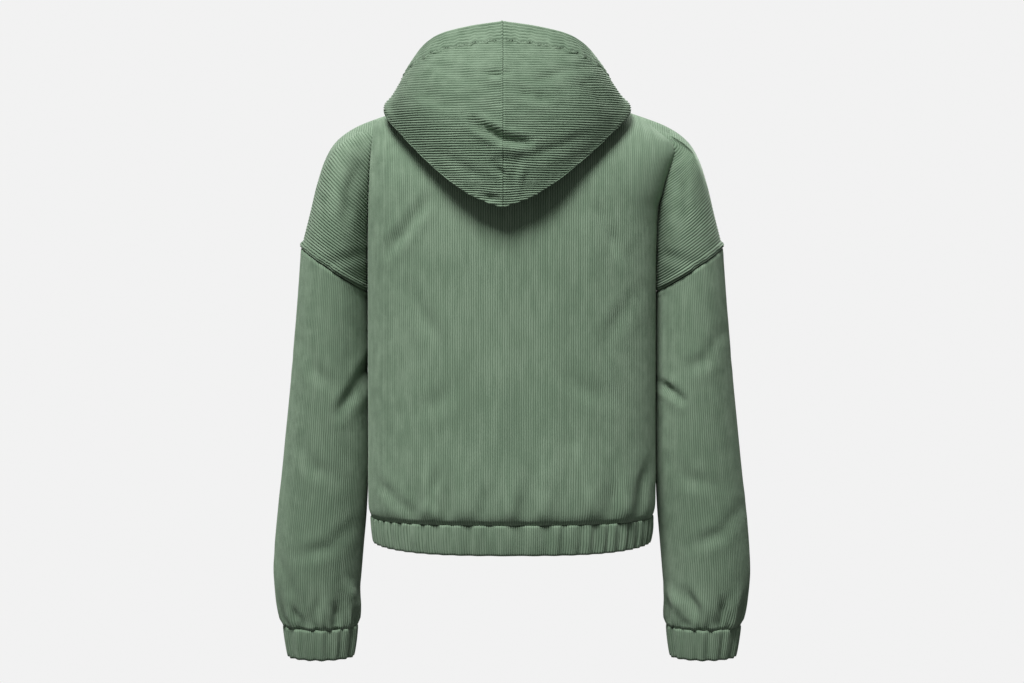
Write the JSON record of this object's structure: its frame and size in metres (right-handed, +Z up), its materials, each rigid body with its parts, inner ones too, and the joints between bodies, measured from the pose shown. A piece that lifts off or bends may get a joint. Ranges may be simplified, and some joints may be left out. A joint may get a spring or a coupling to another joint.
{
  "type": "hooded corduroy jacket",
  "caption": "Cropped hooded jacket in ribbed cotton corduroy with dropped shoulders, a gathered hem band and gathered cuffs, closed by a buttoned front, its hood down the back.",
  "frame": {"origin": "on the midline between the side neck points, where the shoulders carry the jacket, in the plane of the shoulder seams", "axes": "+Z up the body, +Y to the wearer's back, +X to the wearer's left"},
  "size_m": [0.587, 0.2936, 0.773],
  "materials": {
    "corduroy": "ribbed cotton pile, sage green, matt",
    "buttons": "dyed resin, satin"
  },
  "bodies": {
    "root": {"back": "corduroy", "front_left": "corduroy", "front_right": "corduroy", "sleeve_left": "corduroy", "sleeve_right": "corduroy", "cuff_left": "corduroy", "cuff_right": "corduroy", "hem_band": "corduroy", "hood_left": "corduroy", "hood_right": "corduroy", "placket": "corduroy", "button_1": "buttons", "button_2": "buttons", "button_3": "buttons", "button_4": "buttons", "button_5": "buttons", "button_6": "buttons"}
  },
  "joints": []
}
